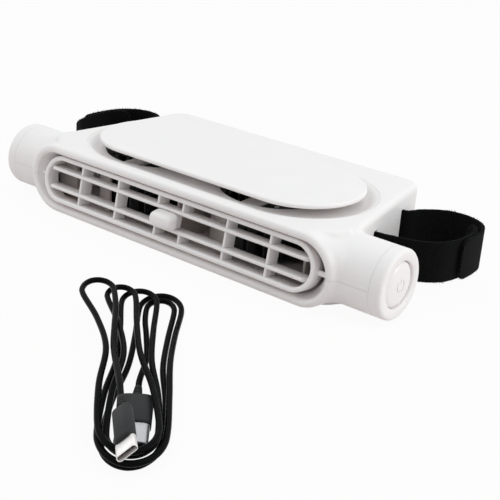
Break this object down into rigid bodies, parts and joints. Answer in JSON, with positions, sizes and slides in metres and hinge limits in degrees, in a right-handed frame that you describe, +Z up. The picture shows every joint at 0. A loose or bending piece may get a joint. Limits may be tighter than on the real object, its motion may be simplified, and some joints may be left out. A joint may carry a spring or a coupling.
{
  "type": "car headrest fan",
  "caption": "Flat white twin-blower fan that straps between headrest posts: a long tilting slatted outlet in a round bar, a floating intake cover, an end push button and a USB cable.",
  "frame": {"origin": "middle of the slab's flat underside", "axes": "+X along the outlet bar towards the power button, +Y to the rear where the headrest is, +Z up"},
  "size_m": [0.2536, 0.2576, 0.0399],
  "materials": {
    "white_plastic": "satin",
    "black_plastic": "satin",
    "steel": "plain",
    "board": "solder mask",
    "strap_web": "hook-and-loop pile",
    "cable_jacket": "satin",
    "plug_rubber": "matte",
    "plug_metal": "bright nickel"
  },
  "bodies": {
    "housing": {"upper_housing": "white_plastic", "lower_housing": "white_plastic", "intake_cover": "white_plastic", "left_end_cap": "white_plastic", "right_end_cap": "white_plastic", "left_scroll": "white_plastic", "right_scroll": "white_plastic", "tact_switch": "black_plastic", "cover_screw_1": "steel", "cover_screw_2": "steel", "cover_screw_3": "steel", "cover_screw_4": "steel", "board_screw_1": "steel", "board_screw_2": "steel", "shell_screw_1": "steel", "shell_screw_2": "steel", "shell_screw_3": "steel", "shell_screw_4": "steel", "shell_screw_5": "steel", "shell_screw_6": "steel", "left_motor": "steel", "right_motor": "steel", "usb_socket": "steel", "usb_board": "board", "switch_board": "board", "control_board": "board", "left_strap": "strap_web", "right_strap": "strap_web", "usb_cable": "cable_jacket", "plug_c_overmould": "plug_rubber", "plug_a_overmould": "plug_rubber", "plug_c_shell": "plug_metal", "plug_a_shell": "plug_metal"},
    "grille": {"outlet_grille": "white_plastic", "tilt_tab": "white_plastic"},
    "button": {"power_button": "white_plastic"},
    "left_impeller": {"left_blower_wheel": "black_plastic", "left_motor_shaft": "steel"},
    "right_impeller": {"right_blower_wheel": "black_plastic", "right_motor_shaft": "steel"}
  },
  "joints": [
    {"name": "louvre_tilt", "type": "hinge", "parent": "housing", "child": "grille", "pos_m": [0, -0.0485, 0.018], "axis": [1, 0, 0], "range_deg": [-14.5, 35.5]},
    {"name": "button_press", "type": "slide", "parent": "housing", "child": "button", "axis": [-1, 0, 0], "range_m": [0, 0.0008], "stiffness_N_per_m": 2000},
    {"name": "left_impeller_spin", "type": "hinge", "parent": "housing", "child": "left_impeller", "pos_m": [-0.04435, -0.0088, 0.018], "axis": [0, 0, 1], "continuous": true},
    {"name": "right_impeller_spin", "type": "hinge", "parent": "housing", "child": "right_impeller", "pos_m": [0.03235, -0.0088, 0.018], "axis": [0, 0, 1], "continuous": true}
  ]
}
